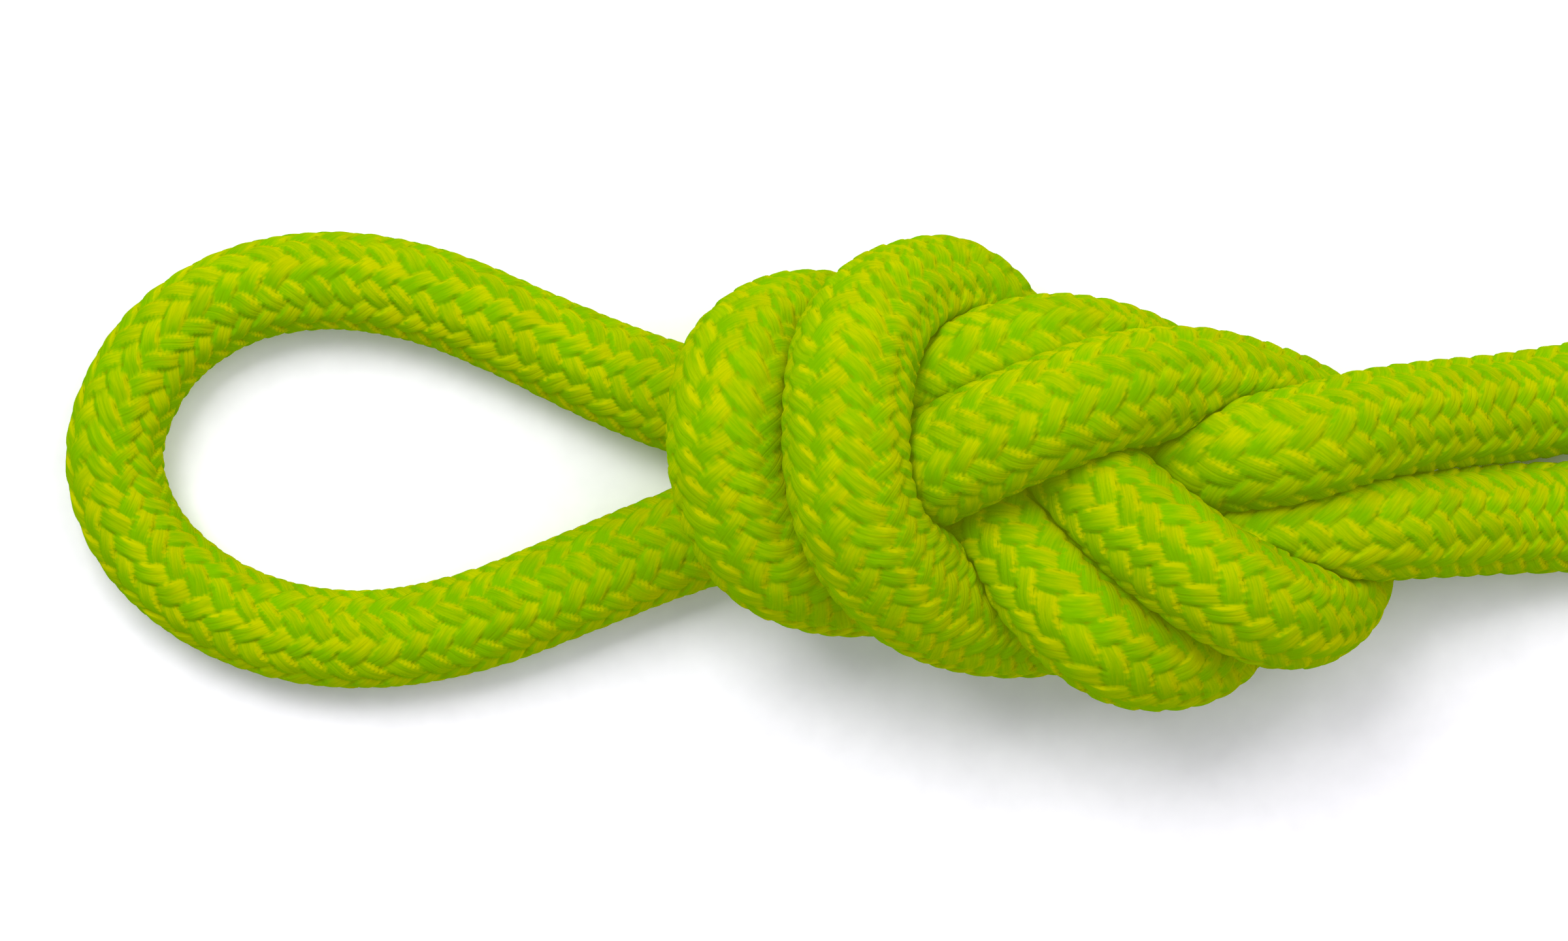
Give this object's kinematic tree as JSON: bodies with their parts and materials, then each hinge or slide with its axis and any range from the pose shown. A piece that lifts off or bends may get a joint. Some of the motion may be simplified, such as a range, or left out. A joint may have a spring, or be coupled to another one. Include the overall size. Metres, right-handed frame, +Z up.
{
  "type": "dynamic climbing rope",
  "caption": "Short braided climbing rope lying flat, with a figure-eight on a bight tied in it and the spare rope folded in a strapped hank.",
  "frame": {"origin": "centre of the part's outline on the surface that the rope lies on", "axes": "+Z up from the surface, +X from the bight's loop past the knot to the hank, +Y across"},
  "size_m": [0.3482, 0.0782, 0.0319],
  "materials": {
    "rope": "braided polyamide sheath, silky",
    "sheath": "braided polyamide sheath, silky",
    "core": "twisted white yarn",
    "sleeve": "shrunk plastic sleeve",
    "seal": "melted yarn",
    "tie": "woven strap with hook and loop"
  },
  "bodies": {
    "root": {"rope": "rope", "hank": "rope", "tail_end_sheath": "sheath", "hank_end_sheath": "sheath", "tail_end_core_strand_1": "core", "tail_end_core_strand_2": "core", "tail_end_core_strand_3": "core", "tail_end_core_strand_4": "core", "tail_end_core_strand_5": "core", "tail_end_core_strand_6": "core", "tail_end_core_strand_7": "core", "hank_end_core_strand_1": "core", "hank_end_core_strand_2": "core", "hank_end_core_strand_3": "core", "hank_end_core_strand_4": "core", "hank_end_core_strand_5": "core", "hank_end_core_strand_6": "core", "hank_end_core_strand_7": "core", "tail_end_sleeve": "sleeve", "hank_end_sleeve": "sleeve", "tail_end_seal": "seal", "hank_end_seal": "seal", "hank_tie": "tie"}
  },
  "joints": []
}
